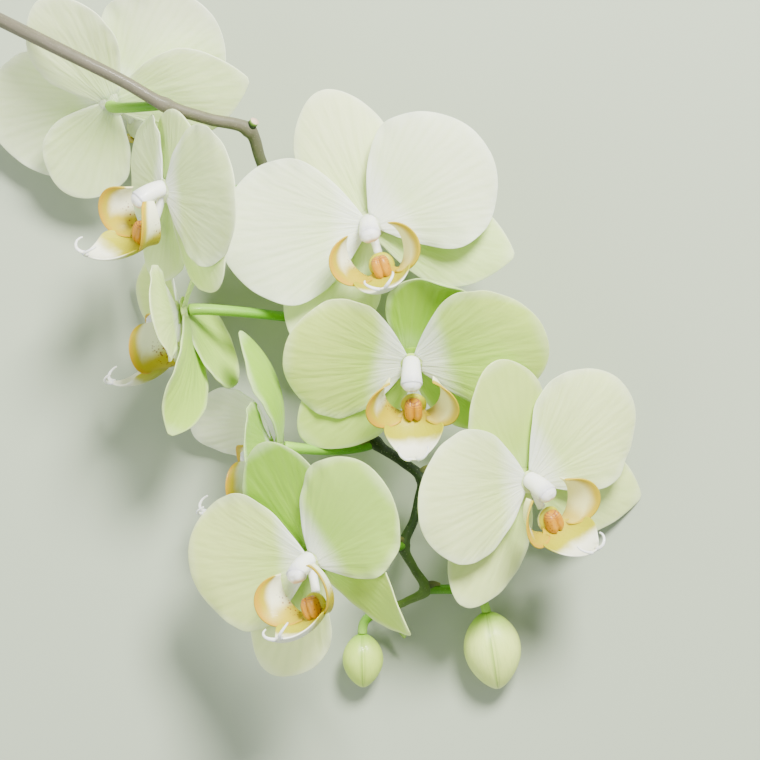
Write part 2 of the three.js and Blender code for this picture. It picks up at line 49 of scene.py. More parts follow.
# Moves the middle of the spray's outline onto the origin, in its lying plane
ORIGIN_SHIFT = [44.3, -20, 0]
SEPAL = {
  "dir": 90, "length": 48, "width": 31, "widest": 0.55, "baseFull": 0.85, "tipFull": 0.6, "root": 3.6,
  "start": 1.5, "lift": -1.7, "rise": -4, "bend": 2, "curl": 0, "cup": [-6, -14], "twist": 0,
  "bow": 0, "wave": 0.5, "waves": 1.3, "phase": 0.4, "crease": 0.5,
}
PETAL = {
  "dir": 16, "length": 47, "width": 47, "widest": 0.53, "baseFull": 0.85, "tipFull": 0.5, "root": 3.4,
  "start": 2, "lift": 1.0, "rise": 9, "bend": -8, "curl": -6, "cup": [10, -16], "twist": 0,
  "bow": 0, "wave": 0.9, "waves": 1.6, "phase": 1.2, "crease": 0.4,
}
BACK_DISC = { "radius": 5.2, "half": 1.1 }
FRONT_DISC = { "radius": 4.2, "half": 1 }
COLUMN = {
  "line": [[0, 1, 1.6], [0, 0.6, 5], [0, -0.6, 8], [0, -2.6, 10.6]], "radius": [3, 3.5],
  "cap": [0, -2.4, 10.4], "capRadii": [3.5, 3.1, 2.6],
  "foot": [[0, -1, 1.6], [0, -4, 1.8], [0, -7, 2.3], [0, -10.1, 3.2]], "footRadius": 1.5,
}
SIDE_LOBE = {
  "centre": [2.4, -8.4], "radius": 9.4, "from": -78, "to": 58, "low": 4, "rake": 5,
  "height": 10.8, "flare": 4,
  "profile": [0.16, 0.92], "fullness": 0.7,
}
MID_LOBE = {
  "dir": -90, "length": 27, "width": 21, "widest": 0.42, "baseFull": 1.7, "tipFull": 1, "root": 4,
  "start": 16, "lift": 5.5, "rise": 46, "bend": 66, "curl": 10, "cup": [40, 50], "twist": 0,
  "bow": 0, "wave": 0, "waves": 1, "phase": 0, "crease": 0,
}
LIP_BASE = { "centre": [0, -14.2, 5.4], "radii": [4.6, 4.6, 2] }
CALLUS = { "centre": [0, -14.6, 8.2], "radii": [3.4, 4.4, 3.2] }
TENDRIL = {
  "line": [[1.1, -0.3, -1.2], [1.9, 0.5, 3], [6, 3, 1], [5, 4, -2]], "radius": [0.75, 0.45],
}
SIDE_DIRS = { "left": 217, "right": -31 }
PETAL_DIRS = { "left": 165, "right": 16 }
# Blooms: the hub, the way each faces (facing = azimuth, lean = angle off +Z), the azimuth of its
# top sepal and its roll, then the stem's node that its stalk grows from, how far the stalk
# runs straight out of the node and straight into the bloom, and what is special to its blades.
BLOOMS = [
  {
    "name": "flower_1", "hub": [-3.5, 54.2, 40], "facing": 240, "lean": 9, "dorsal": 108.6, "roll": 0,
    "node": "a", "pull": [10, 8],
    "top": { "dir": 92.5, "length": 48.5, "width": 33 },
    "sideLeft": { "dir": 222, "length": 49, "width": 32 },
    "sideRight": { "dir": -30.6, "length": 50, "width": 31, "tipFull": 0.85 },
    "petalLeft": { "dir": 166, "length": 51, "width": 50 },
    "petalRight": { "dir": 18, "length": 48, "width": 50 },
    "lip": { "length": 25 },
  },
  {
    "name": "flower_2", "hub": [11, 6.3, 44.5], "facing": 268, "lean": 33, "dorsal": 94, "roll": 0,
    "node": "b", "pull": [12, 8],
    "top": { "dir": 69, "length": 36.5, "width": 30, "rise": -3, "bend": 12, "curl": 80, "cup": [-4, 4] },
    "sideLeft": { "dir": 216, "length": 48, "width": 31, "rise": 5, "cup": [0, 0] },
    "sideRight": { "dir": -38, "length": 46, "width": 30 },
    "petalLeft": { "dir": 170, "length": 43, "width": 48 },
    "petalRight": { "dir": 14, "length": 47, "width": 47 },
  },
  {
    "name": "flower_3", "hub": [52, -35.5, 37], "facing": -20, "lean": 34, "dorsal": 110, "roll": 0,
    "node": "c", "pull": [10, 7],
    "top": { "rise": 5, "bend": 4, "cup": [0, 4] },
    "sideLeft": { "dir": 219 },
    "sideRight": { "dir": -37, "tipFull": 0.85, "length": 55, "bend": -3 },
    "petalLeft": { "dir": 161 },
  },
  {
    "name": "flower_4", "hub": [-23, -62, 69], "facing": 195, "lean": 37, "dorsal": 108, "roll": 0,
    "node": "d", "pull": [14, 12],
    "top": { "dir": 98, "length": 43, "width": 33, "rise": 2, "cup": [0, 4] },
    "sideLeft": { "dir": 219, "width": 34 },
    "sideRight": { "dir": -27, "length": 44, "width": 24, "rise": -6, "bend": 30, "bow": -12, "twist": 30 },
    "petalLeft": { "length": 49 },
    "petalRight": { "dir": 24, "length": 45, "width": 43 },
  },
  {
    "name": "flower_5", "hub": [-37, -24, 32], "facing": 188, "lean": 98, "dorsal": 98, "roll": -20,
    "node": "e", "pull": [12, 5], "dip": [0, -3, -4],
    "top": { "dir": 96, "length": 45, "width": 28, "rise": -24, "bend": 66, "cup": [30, 50] },
    "sideLeft": { "dir": 232, "length": 37, "rise": 12 },
    "sideRight": { "dir": -66, "length": 32, "width": 22, "rise": -10 },
    "petalRight": { "dir": 14, "length": 26, "width": 36, "rise": 10, "bend": 4 },
    "petalLeft": { "dir": 166, "length": 40, "width": 30, "rise": 10, "bend": 108, "curl": -30 },
  },
  {
    "name": "flower_6", "hub": [-74, 65.5, 52], "facing": 187, "lean": 58, "dorsal": 94, "roll": -20,
    "node": "f", "pull": [12, 8],
    "top": { "dir": 96, "length": 27, "width": 29, "rise": -2, "bend": 2 },
    "sideLeft": { "dir": 252, "length": 36, "width": 30 },
    "sideRight": { "dir": -25, "length": 44, "rise": 0 },
    "petalRight": { "dir": 16, "rise": 2, "bend": -4 },
    "petalLeft": { "dir": 170, "length": 30, "width": 38, "rise": -2, "bend": -10 },
  },
  {
    "name": "flower_7", "hub": [-70, 24, 37.5], "facing": 190, "lean": 100, "dorsal": 96, "roll": -14,
    "node": "g", "pull": [8, 6],
    "top": { "length": 28, "width": 22, "rise": -28, "bend": -10 },
    "sideLeft": { "dir": 238, "length": 36, "rise": -10, "bend": -10 },
    "sideRight": {
      "dir": -62, "length": 44, "width": 24, "tipFull": 0.9, "rise": -6, "bend": 40, "twist": 50,
    },
    "petalRight": { "dir": 13, "length": 38, "width": 32, "rise": 2, "bend": -4 },
    "petalLeft": { "dir": 180, "length": 38, "width": 36, "rise": 4, "bend": 68, "curl": -26 },
  },
  {
    "name": "flower_8", "hub": [-94, 98, 32.6], "facing": 72, "lean": 150, "dorsal": 125, "roll": 0,
    "node": "h", "pull": [5, 4],
    "top": { "dir": 93, "length": 44 },
    "sideLeft": { "dir": 198, "length": 50, "tipFull": 0.85, "cup": [0, -10] },
    "sideRight": { "dir": -31, "length": 38, "width": 31 },
    "lip": { "length": 20 },
  },
]
# The stem's line from its cut end to its tip, with the radius there.
# A named point is a node, where the stem thickens and carries a bract.
STEM_LINE = [
  { "at": [-182, 149, 2.3], "radius": 2.4 },
  { "at": [-165, 142, 13], "radius": 2.4 },
  { "at": [-139, 129, 39], "radius": 2.4 },
  { "at": [-112, 115, 52.5], "radius": 2.3 },
  { "at": [-89, 103.5, 52.5], "radius": 2.2 },
  { "name": "h", "at": [-74.4, 95.4, 50.5], "radius": 2.2 },
  { "at": [-60, 91, 46], "radius": 2.1 },
  { "name": "scar", "at": [-46, 87.6, 40.5], "radius": 2.2 },
  { "at": [-42.2, 78, 34], "radius": 2 },
  { "name": "f", "at": [-38.5, 67, 28], "radius": 2.1 },
  { "name": "a", "at": [-34, 51, 24], "radius": 2.1 },
  { "at": [-30, 36, 23], "radius": 1.9 },
  { "name": "g", "at": [-27, 21.7, 22.5], "radius": 2.1 },
  { "at": [-20, 10, 22], "radius": 1.9 },
  { "name": "b", "at": [-14.5, -2.5, 20], "radius": 2.1 },
  { "at": [-8, -13, 18.5], "radius": 1.8 },
  { "name": "e", "at": [-1.5, -22.5, 17.5], "radius": 2 },
  { "at": [7, -28.5, 19.5], "radius": 1.7 },
  { "name": "c", "at": [15, -35.3, 21], "radius": 1.9 },
  { "at": [13.8, -42, 21.5], "radius": 1.6 },
  { "at": [12, -50, 21.5], "radius": 1.6 },
  { "name": "d", "at": [8.4, -59, 21], "radius": 1.9 },
  { "at": [12, -67, 18.5], "radius": 1.5 },
  { "name": "bigbud", "at": [16.2, -75, 16.5], "radius": 1.8 },
  { "at": [9, -79.5, 15], "radius": 1.4 },
  { "name": "smallbud", "at": [2, -83.3, 13.5], "radius": 1.7 },
  { "at": [5.5, -87.5, 12.5], "radius": 1.2 },
  { "at": [9, -92.5, 12], "radius": 0.6 },
]
NODE_SWELL = 0.55
NODE_SPREAD = 2.2
BRACT = { "out": 4.8, "back": 3, "sunk": 1, "foot": 1.9, "tip": 0.45 }
SCAR = { "dir": [0.5, 0.6, 0.62], "length": 4.6, "foot": 1.9, "end": 1.6 }
STALK_RADIUS = { "stem": 1.7, "bloom": 2.1 }
STALK_END = -3.4
DIP_NEAR = 1.4
DIP_FAR = 0.4
BUD = {
  "ends": [0.02, 0.99], "lean": 0.92, "fullness": 0.62, "furrow": 0.05, "furrowWidth": 6,
}
BUDS = [
  {
    "name": "bud_1", "node": "bigbud", "top": [38.3, -83.6, 11], "tip": [42.6, -111, 7.6], "radius": 10.4,
    "pull": [12, 9],
  },
  {
    "name": "bud_2", "node": "smallbud", "top": [-6.4, -91.4, 9.5], "tip": [-6, -110.6, 7.4], "radius": 7.4,
    "pull": [6, 6],
  },
]

MM = 0.001
CENTRELINE_STEPS = 256
PETAL_GRID = (46, 30)
SEPAL_GRID = (46, 24)
LOBE_GRID = (30, 16)
MIDDLE_GRID = (44, 24)
LOBE_ROLL = 2.4

# Sheet thickness at the middle and at the margin, and how far a margin ripples
SEPAL_THICK = (0.95, 0.3)
PETAL_THICK = (0.9, 0.25)
LOBE_THICK = (1.0, 0.35)
MIDDLE_THICK = (1.0, 0.3)
SEPAL_FRILL = 0.15
PETAL_FRILL = 0.25
FRILL_WAVES = 5.3
OUTLINE_RIPPLE = 0.010
OUTLINE_WAVES = 3.1
TIP_ROUNDING = 0.05
LOWEST = 0.02

# Steps along and round each tube
COLUMN_STEPS = (16, 24)
FOOT_STEPS = (10, 16)
TENDRIL_STEPS = (16, 10)
BRACT_STEPS = (12, 16)
STEM_STEPS = (420, 20)
SCAR_STEPS = (8, 20)
STALK_STEPS = (40, 18)
BUD_STEPS = (60, 72)

# Where the veins of a blade meet, behind its root, and the scale of the fan map
FAN_BEHIND = 5.0
FAN_TURN = 3
FAN_LENGTH = 60

TENDRIL_RADIUS = (0.75, 0.3)
BUD_FURROW = 1.5 * BUD["furrow"]
FLOOR_SIZE = 6
FLOOR_HEIGHT = -0.0002
LIGHTS = {
    "key": ((0.35, 0.75, 1.05), 0.45, 62.0, (1.0, 0.99, 0.94)),
    "fill": ((-0.9, -0.2, 0.9), 1.2, 10.0, (0.96, 1.0, 0.96)),
}
LIGHT_AIM = (0, 0, 0.03)
SKY_COLOUR = (0.93, 0.97, 0.95, 1)
SKY_STRENGTH = 0.6
CAMERA_HEIGHT = 1.14
FOCAL_REACH = 1.1
HALF_VIEW = 0.133


def srgb(text):
    """Linear colour from its usual hex form."""
    values = [int(text[i : i + 2], 16) / 255 for i in (1, 3, 5)]
    linear = [c / 12.92 if c <= 0.04045 else ((c + 0.055) / 1.055) ** 2.4 for c in values]
    return (*linear, 1.0)


def taper(a, b, t):
    return a + (b - a) * t


# Blades

def slope_at(blade, u):
    past = np.maximum(0, (u - CURL_START) / (1 - CURL_START))
    return (blade["rise"] + blade["bend"] * u + blade["curl"] * past * past) * RAD


def centreline(blade, u):
    """Outward and upward shares of the length at each u."""
    mid = (np.arange(CENTRELINE_STEPS) + 0.5) / CENTRELINE_STEPS
    slope = slope_at(blade, mid)
    out = np.concatenate([[0], np.cumsum(np.cos(slope))]) / CENTRELINE_STEPS
    high = np.concatenate([[0], np.cumsum(np.sin(slope))]) / CENTRELINE_STEPS
    grid = np.linspace(0, 1, CENTRELINE_STEPS + 1)
    return np.interp(u, grid, out), np.interp(u, grid, high)


def half_width(blade, u):
    power = math.log(0.5) / math.log(blade["widest"])
    full = blade["baseFull"] + (blade["tipFull"] - blade["baseFull"]) * u
    swell = np.maximum(0, np.sin(math.pi * u**power))
    body = blade["width"] / 2 * swell**full
    return body + blade["root"] * (1 - u) ** 3 + TIP_HALF_WIDTH * u


def relief(blade, u, v):
    phase = blade["phase"] + np.where(v < 0, OTHER_SIDE_PHASE, 0)
    wave = np.sin(2 * math.pi * blade["waves"] * u + phase) * np.sin(math.pi * u)
    return blade["wave"] * np.abs(v) ** 3 * wave - blade["crease"] * (1 - np.abs(v)) ** 2 * (1 - u)


def blade_surface(blade, u, v, seed=0.0):
    """Points, normals and flat (along, across) places of a blade at the grids u and v."""
    direction = blade["dir"] * RAD
    outward = np.array([math.cos(direction), math.sin(direction), 0.0])
    across = np.array([-outward[1], outward[0], 0.0])
    up = np.array([0.0, 0.0, 1.0])
    out, high = centreline(blade, u)
    slope = slope_at(blade, u)[..., None]
    turn = (blade["twist"] * u * u * RAD)[..., None]
    level = -np.sin(slope) * outward + np.cos(slope) * up
    side = np.cos(turn) * across + np.sin(turn) * level
    face = np.cos(turn) * level - np.sin(turn) * across
    cup = (blade["cup"][0] + (blade["cup"][1] - blade["cup"][0]) * u) * RAD
    curve = 2 * cup / blade["width"] + 1e-6
    half = half_width(blade, u)
    frill = blade.get("frill", 0) * np.abs(v) ** 5 * np.sin(math.pi * u) ** 0.5
    ripple = np.sin(2 * math.pi * OUTLINE_WAVES * u + seed + np.where(v < 0, 2.0, 0)) * np.sin(math.pi * u)
    half = half * (1 + OUTLINE_RIPPLE * ripple)
    bent = curve * v * half
    lift = (1 - np.cos(bent)) / curve + relief(blade, u, v)
    lift = lift + frill * np.sin(2 * math.pi * FRILL_WAVES * u + 3 * seed + np.where(v < 0, 1.3, 0))
    point = (
        (blade["start"] + blade["length"] * out)[..., None] * outward
        + (blade["lift"] + blade["length"] * high)[..., None] * up
        + (blade["bow"] * u * u)[..., None] * across
        + side * (np.sin(bent) / curve)[..., None]
        + face * lift[..., None]
    )
    normal = face * np.cos(bent)[..., None] - side * np.sin(bent)[..., None]
    return point, normal, u * blade["length"], v * half


class Piece:
    """Collects the grids of one Blender object: points in mm, faces, material slots and two UV maps."""

    def __init__(self):
        self.points = []
        self.faces = []
        self.slots = []
        self.blade_uv = []
        self.fan_uv = []
        self.count = 0

    def add(self, points, faces, slots, blade_uv, fan_uv):
        self.points.append(points)
        self.faces.append(faces + self.count)
        self.slots.append(slots)
        self.blade_uv.append(blade_uv)
        self.fan_uv.append(fan_uv)
        self.count += len(points)


def grid_faces(rows, columns, wrap=False):
    i, j = np.meshgrid(np.arange(rows), np.arange(columns), indexing="ij")
    width = columns if wrap else columns + 1
    k = (j + 1) % columns if wrap else j + 1
    a, b, c, d = i * width + j, (i + 1) * width + j, (i + 1) * width + k, i * width + k
    return np.stack([a, b, c, d], -1).reshape(-1, 4)


def add_sheet(piece, place, surface, grid, thick, slots=(0, 0)):
    """A sheet on both sides of surface(u, v), rounded at its margin. slots are for its two faces."""
    rows, columns = grid
    u = 1 - (1 - np.linspace(0, 1, rows + 1)) ** 1.35
    v = np.sin(np.linspace(-1, 1, columns + 1) * math.pi / 2)
    u, v = np.meshgrid(u, v, indexing="ij")
    point, normal, along, across = surface(u, v)
    edge = np.sqrt(np.clip(1 - v * v, 0, 1)) * np.sqrt(np.clip((1 - u) / TIP_ROUNDING, 0, 1))
    half = (thick[1] + (thick[0] - thick[1]) * np.clip(edge, 0, 1)) / 2
    upper = place(point + normal * half[..., None]).reshape(-1, 3)
    lower = place(point - normal * half[..., None]).reshape(-1, 3)
    lower[:, 2] = np.maximum(lower[:, 2], LOWEST)
    upper[:, 2] = np.maximum(upper[:, 2], LOWEST)
    flat = grid_faces(rows, columns)
    under = len(upper)
    at = lambda i, j: i * (columns + 1) + j
    rim = [at(i, 0) for i in range(rows)] + [at(rows, j) for j in range(columns)]
    rim += [at(i, columns) for i in range(rows, 0, -1)] + [at(0, j) for j in range(columns, 0, -1)]
    rim = np.array(rim)
    after = np.roll(rim, -1)
    band = np.stack([after, rim, rim + under, after + under], -1)
    faces = np.concatenate([flat, flat[:, ::-1] + under, band])
    slot = np.concatenate([np.full(len(flat), slots[0]), np.full(len(flat) + len(band), slots[1])])
    fan = np.arctan2(across, along + FAN_BEHIND)
    blade_uv = np.stack([u, (v + 1) / 2], -1).reshape(-1, 2)
    fan_uv = np.stack([fan / FAN_TURN + 0.5, along / FAN_LENGTH], -1).reshape(-1, 2)
    piece.add(np.concatenate([upper, lower]), faces, slot, np.tile(blade_uv, (2, 1)), np.tile(fan_uv, (2, 1)))


def rings(path, radius, count, sides):
    """The rings of a tube along path(t), its ring directions carried along the line."""
    t = np.linspace(0, 1, count + 1)
    line = path(t)
    ahead = np.gradient(line, axis=0)
    ahead /= np.linalg.norm(ahead, axis=1, keepdims=True)
    side = np.array([0, 0, 1.0]) if abs(ahead[0][2]) < 0.9 else np.array([1.0, 0, 0])
    angle = np.linspace(0, 2 * math.pi, sides, endpoint=False)
    points = []
    for i in range(count + 1):
        side = side - ahead[i] * side.dot(ahead[i])
        side = side / np.linalg.norm(side)
        other = np.cross(ahead[i], side)
        reach = radius(t[i], angle)[:, None]
        points.append(line[i] + reach * (np.cos(angle)[:, None] * side + np.sin(angle)[:, None] * other))
    return np.array(points), line, t


def add_tube(piece, place, path, radius, steps, slots=(0, 0)):
    count, sides = steps
    points, line, t = rings(path, radius, count, sides)
    faces = grid_faces(count, sides, wrap=True)[:, ::-1]
    body = points.reshape(-1, 3)
    ends = np.stack([line[0], line[-1]])
    first = len(body)
    k = np.arange(sides)
    after = (k + 1) % sides
    start = np.stack([np.full(sides, first), after, k, np.full(sides, first)], -1)
    last = count * sides
    end = np.stack([np.full(sides, first + 1), last + k, last + after, np.full(sides, first + 1)], -1)
    all_points = place(np.concatenate([body, ends]))
    all_points[:, 2] = np.maximum(all_points[:, 2], LOWEST)
    uv = np.stack(np.meshgrid(t, k / sides, indexing="ij"), -1).reshape(-1, 2)
    uv = np.concatenate([uv, [[0, 0.5], [1, 0.5]]])
    slot = np.concatenate([np.full(len(faces), slots[0]), np.full(2 * sides, slots[1])])
    piece.add(all_points, np.concatenate([faces, start, end]), slot, uv, uv)


def add_ball(piece, place, centre, radii, slot=0, shape=None, sides=28, bands=20):
    """An ellipsoid; shape(unit points) may return a factor for each point."""
    phi = np.linspace(0, math.pi, bands + 1)
    theta = np.linspace(0, 2 * math.pi, sides, endpoint=False)
    p, q = np.meshgrid(phi, theta, indexing="ij")
    unit = np.stack([np.sin(p) * np.cos(q), np.sin(p) * np.sin(q), np.cos(p)], -1).reshape(-1, 3)
    factor = 1 if shape is None else shape(unit)[:, None]
    points = place(np.array(centre) + unit * np.array(radii) * factor)
    uv = np.stack([p / math.pi, q / (2 * math.pi)], -1).reshape(-1, 2)
    faces = grid_faces(bands, sides, wrap=True)
    piece.add(points, faces, np.full(len(faces), slot), uv, unit[:, :2] / 2 + 0.5)


def make_object(piece, name, node, materials):
    points = np.concatenate(piece.points) * MM
    faces = np.concatenate(piece.faces).astype(np.int32)
    mesh = bpy.data.meshes.new(name)
    # a quad whose first corner comes twice is a triangle
    tri = faces[:, 0] == faces[:, 3]
    order = np.concatenate([faces[~tri].reshape(-1), faces[tri][:, :3].reshape(-1)])
    totals = np.concatenate([np.full((~tri).sum(), 4), np.full(tri.sum(), 3)]).astype(np.int32)
    starts = np.concatenate([[0], np.cumsum(totals)[:-1]]).astype(np.int32)
    slots = np.concatenate(piece.slots)
    slots = np.concatenate([slots[~tri], slots[tri]]).astype(np.int32)
    mesh.vertices.add(len(points))
    mesh.vertices.foreach_set("co", points.astype(np.float32).reshape(-1))
    mesh.loops.add(len(order))
    mesh.loops.foreach_set("vertex_index", order.astype(np.int32))
    mesh.polygons.add(len(totals))
    mesh.polygons.foreach_set("loop_start", starts)
    mesh.polygons.foreach_set("material_index", slots)
    mesh.polygons.foreach_set("use_smooth", np.ones(len(totals), bool))
    for uv_name, parts in (("blade", piece.blade_uv), ("fan", piece.fan_uv)):
        values = np.concatenate(parts)[order].astype(np.float32)
        mesh.uv_layers.new(name=uv_name).data.foreach_set("uv", values.reshape(-1))
    for material in materials:
        mesh.materials.append(material)
    mesh.validate(clean_customdata=False)
    mesh.update()
    made = bpy.data.objects.new(name, mesh)
    bpy.context.scene.collection.objects.link(made)
    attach(made, "root")
    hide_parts(node)
    return made


# Materials

class Nodes:
    """Short names for the nodes that the materials use."""

    def __init__(self, name):
        self.material = bpy.data.materials.new(name)
        self.material.use_nodes = True
        self.tree = self.material.node_tree
        self.shader = self.tree.nodes["Principled BSDF"]

    def put(self, socket, value):
        if isinstance(value, bpy.types.NodeSocket):
            self.tree.links.new(value, socket)
        else:
            socket.default_value = value

    def node(self, kind, **settings):
        made = self.tree.nodes.new(kind)
        for key, value in settings.items():
            setattr(made, key, value)
        return made

    def uv(self, name):
        source = self.node("ShaderNodeUVMap", uv_map=name)
        split = self.node("ShaderNodeSeparateXYZ")
        self.put(split.inputs[0], source.outputs[0])
        return split.outputs[0], split.outputs[1]

    def place(self):
        return self.node("ShaderNodeTexCoord").outputs["Object"]

    def math(self, operation, a, b=0.0, clamp=False):
        made = self.node("ShaderNodeMath", operation=operation, use_clamp=clamp)
        self.put(made.inputs[0], a)
        self.put(made.inputs[1], b)
        return made.outputs[0]

    def step(self, value, low, high, to_low=0.0, to_high=1.0):
        made = self.node("ShaderNodeMapRange", interpolation_type="SMOOTHSTEP")
        for socket, given in zip(made.inputs[:5], (value, low, high, to_low, to_high)):
            self.put(socket, given)
        return made.outputs[0]

    def mix(self, share, a, b):
        made = self.node("ShaderNodeMix", data_type="RGBA")
        self.put(made.inputs[0], share)
        self.put(made.inputs[6], a)
        self.put(made.inputs[7], b)
        return made.outputs[2]

    def noise(self, vector, scale, detail=3.0):
        made = self.node("ShaderNodeTexNoise")
        self.put(made.inputs["Vector"], vector)
        self.put(made.inputs["Scale"], scale)
        self.put(made.inputs["Detail"], detail)
        return made.outputs[0]

    def spots(self, vector, scale, size):
        made = self.node("ShaderNodeTexVoronoi")
        self.put(made.inputs["Vector"], vector)
        self.put(made.inputs["Scale"], scale)
        return self.step(made.outputs["Distance"], size, size * 0.45)

    def stretched(self, u, v, along, across):
        made = self.node("ShaderNodeCombineXYZ")
        self.put(made.inputs[0], self.math("MULTIPLY", u, along))
        self.put(made.inputs[1], self.math("MULTIPLY", v, across))
        return made.outputs[0]

    def finish(self, colour, roughness, height=None, strength=0.4, distance=0.0003, soft=0.0,
               radius=(0.003, 0.003, 0.0015), coat=0.0, sheen=0.0):
        shader = self.shader
        self.put(shader.inputs["Base Color"], colour)
        self.put(shader.inputs["Roughness"], roughness)
        shader.inputs["Subsurface Weight"].default_value = soft
        shader.inputs["Subsurface Radius"].default_value = radius
        shader.inputs["Subsurface Scale"].default_value = 1.0
        shader.inputs["Coat Weight"].default_value = coat
        shader.inputs["Sheen Weight"].default_value = sheen
        shader.inputs["Specular IOR Level"].default_value = 0.35
        if height is not None:
            bump = self.node("ShaderNodeBump")
            bump.inputs["Strength"].default_value = strength
            bump.inputs["Distance"].default_value = distance
            self.put(bump.inputs["Height"], height)
            self.put(shader.inputs["Normal"], bump.outputs[0])
        return self.material


def veins(n, fan, along, lines):
    """Thin dark lines that spread from a blade's root, with finer ones between them further out."""
    wobble = n.math("MULTIPLY", n.math("SUBTRACT", n.noise(n.place(), 60.0, 2.0), 0.5), 0.9)
    turn = n.math("ADD", n.math("MULTIPLY", fan, lines), wobble)
    first = n.math("POWER", n.math("ABSOLUTE", n.math("SINE", turn)), 14.0)
    second = n.math("POWER", n.math("ABSOLUTE", n.math("COSINE", turn)), 18.0)
    late = n.step(along, 0.12, 0.45)
    return n.math("ADD", first, n.math("MULTIPLY", second, n.math("MULTIPLY", late, 0.7)), clamp=True)


def blade_material(name, body, lime, pale, lines=42.0, soft=0.35):
    """A petal or sepal, lime towards its root and pale at its margin. pale whitens the very root. The lime
    towards the root and middle is partly the real lime base and partly painted shade, the greener shade where
    blooms overlap. The pale margin is partly the thin margin's own colour and partly painted light, the glow
    of light through the thin edge.
    """
    n = Nodes(name)
    u, v = n.uv("blade")
    fan, along = n.uv("fan")
    beside = n.math("ABSOLUTE", n.math("SUBTRACT", n.math("MULTIPLY", v, 2.0), 1.0))
    patch = n.noise(n.place(), 28.0, 3.0)
    drift = n.math("MULTIPLY", n.math("SUBTRACT", patch, 0.5), 0.3)
    reach = n.math("ADD", u, drift)
    centre = n.math("SUBTRACT", 1.0, n.math("MULTIPLY", beside, 0.6))
    # lime towards the root and middle: partly the real colour of the base, partly painted shade for the
    # greener shade under overlapping blooms
    lime_and_shade_share = n.math("MULTIPLY", n.step(reach, 0.75, 0.05, 0.0, lime), centre)
    colour = n.mix(lime_and_shade_share, srgb(body), srgb("#92c41e"))
    colour = n.mix(n.step(reach, 0.3, 0.1, 0.0, pale), colour, srgb("#f4f9e8"))
    # paler towards the margin and tip: partly the thin margin's own colour, partly painted light for the glow
    # through the thin edge
    rim = n.math("MAXIMUM", n.step(beside, 0.8, 1.0), n.step(u, 0.88, 1.0))
    colour = n.mix(n.math("MULTIPLY", rim, 0.26), colour, srgb("#f6f9e6"))
    lines_here = veins(n, fan, along, lines)
    fade = n.math("MULTIPLY", n.step(beside, 1.0, 0.75), n.step(u, 1.0, 0.8))
    shown = n.math("MULTIPLY", lines_here, n.math("MULTIPLY", fade, 0.13))
    colour = n.mix(shown, colour, srgb("#a2c45a"))
    speck = n.noise(n.place(), 900.0, 2.0)
    fold = n.noise(n.stretched(fan, along, 9.0, 1.2), 3.0, 2.0)
    height = n.math("ADD", n.math("MULTIPLY", lines_here, -0.25), n.math("MULTIPLY", speck, 0.3))
    height = n.math("ADD", height, n.math("MULTIPLY", fold, 6.0))
    rough = n.step(patch, 0.3, 0.7, 0.5, 0.62)
    return n.finish(colour, rough, height, 0.35, 0.0003, soft, sheen=0.1)


def lobe_material(name, inner):
    """A side lobe: white near the column, yellow at its margin and lower down, dotted near the callus."""
    n = Nodes(name)
    u, v = n.uv("blade")
    patch = n.noise(n.place(), 120.0, 3.0)
    drift = n.math("MULTIPLY", n.math("SUBTRACT", patch, 0.5), 0.2)
    high = n.math("ADD", v, drift)
    low = n.math("ADD", u, drift)
    if inner:
        yellow = n.math("MAXIMUM", n.step(high, 0.52, 0.82), n.step(low, 0.62, 0.34))
        colour = n.mix(yellow, srgb("#f6f5d8"), srgb("#baa600"))
        colour = n.mix(n.math("MULTIPLY", n.step(high, 0.8, 1.0), 0.8), colour, srgb("#c69200"))
        dots = n.spots(n.place(), 900.0, 0.38)
        where = n.math("MULTIPLY", n.step(v, 0.5, 0.2), n.step(u, 0.75, 0.5))
        colour = n.mix(n.math("MULTIPLY", dots, n.math("MULTIPLY", where, 0.85)), colour, srgb("#7a2f1c"))
    else:
        yellow = n.math("MAXIMUM", n.step(high, 0.6, 0.95), n.math("MULTIPLY", n.step(low, 0.45, 0.1), 0.8))
        colour = n.mix(yellow, srgb("#efebaa"), srgb("#bca200"))
    height = n.noise(n.stretched(u, v, 30.0, 6.0), 2.0, 2.0)
    return n.finish(colour, 0.45, height, 0.2, 0.0002, 0.1, coat=0.05)


def middle_material(name):
    """The middle lobe: yellow to lime at its root and wings, white towards its tip."""
    n = Nodes(name)
    u, v = n.uv("blade")
    fan, _ = n.uv("fan")
    patch = n.noise(n.place(), 140.0, 3.0)
    drift = n.math("MULTIPLY", n.math("SUBTRACT", patch, 0.5), 0.25)
    beside = n.math("ABSOLUTE", n.math("SUBTRACT", n.math("MULTIPLY", v, 2.0), 1.0))
    place = n.math("SUBTRACT", n.math("ADD", u, drift), n.math("MULTIPLY", beside, 0.12))
    white = n.step(place, 0.36, 0.6)
    colour = n.mix(white, srgb("#b0ac00"), srgb("#f7f7e4"))
    colour = n.mix(n.math("MULTIPLY", n.step(u, 0.3, 0.02), 0.6), colour, srgb("#c29c00"))
    lines = n.math("POWER", n.math("ABSOLUTE", n.math("SINE", n.math("MULTIPLY", fan, 60.0))), 10.0)
    height = n.math("MULTIPLY", lines, -0.5)
    return n.finish(colour, 0.42, height, 0.25, 0.0002, 0.1, coat=0.05)


